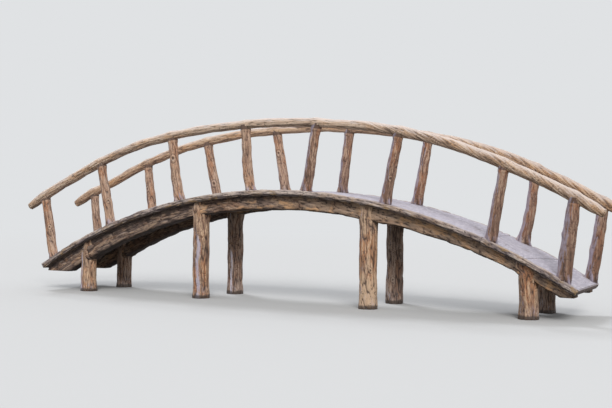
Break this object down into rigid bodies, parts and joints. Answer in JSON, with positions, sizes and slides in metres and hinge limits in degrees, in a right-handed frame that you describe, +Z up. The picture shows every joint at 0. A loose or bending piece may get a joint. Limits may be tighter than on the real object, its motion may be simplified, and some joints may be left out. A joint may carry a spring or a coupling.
{
  "type": "arched garden footbridge",
  "caption": "Low arched footbridge of stained cement shaped like logs: curved slab deck on posts and arched bearers, with leaning balusters under bent handrails.",
  "frame": {"origin": "at water level, under the middle of the arch, midway between the front and the back", "axes": "+X along the bridge, +Y across it towards the back, +Z up"},
  "size_m": [7.9099, 1.14, 2.2878],
  "materials": {
    "deck_cement": "pale lavender-grey worn cement with fine cross scoring and dark cross joints, ochre lichen on the edges",
    "bearer_cement": "dark brown stained cement with orange and tan patches and grain along the arch",
    "post_cement": "brown stained cement with deep upright bark grooves, pale streaks and a dark wet foot",
    "baluster_cement": "orange-brown stained cement with bark grooves, grey at the spreading foot",
    "rail_cement": "tan-brown stained cement with long grooves and a pale worn top"
  },
  "bodies": {
    "root": {"deck_slab": "deck_cement", "deck_end_left": "deck_cement", "deck_end_right": "deck_cement", "front_bearer_1": "bearer_cement", "front_bearer_2": "bearer_cement", "front_bearer_3": "bearer_cement", "front_bearer_4": "bearer_cement", "front_bearer_5": "bearer_cement", "front_post_1": "post_cement", "front_post_2": "post_cement", "front_post_3": "post_cement", "front_post_4": "post_cement", "front_baluster_1": "baluster_cement", "front_baluster_2": "baluster_cement", "front_baluster_3": "baluster_cement", "front_baluster_4": "baluster_cement", "front_baluster_5": "baluster_cement", "front_baluster_6": "baluster_cement", "front_baluster_7": "baluster_cement", "front_baluster_8": "baluster_cement", "front_handrail": "rail_cement", "back_bearer_1": "bearer_cement", "back_bearer_2": "bearer_cement", "back_bearer_3": "bearer_cement", "back_bearer_4": "bearer_cement", "back_bearer_5": "bearer_cement", "back_post_1": "post_cement", "back_post_2": "post_cement", "back_post_3": "post_cement", "back_post_4": "post_cement", "back_baluster_1": "baluster_cement", "back_baluster_2": "baluster_cement", "back_baluster_3": "baluster_cement", "back_baluster_4": "baluster_cement", "back_baluster_5": "baluster_cement", "back_baluster_6": "baluster_cement", "back_baluster_7": "baluster_cement", "back_baluster_8": "baluster_cement", "back_handrail": "rail_cement"}
  },
  "joints": []
}
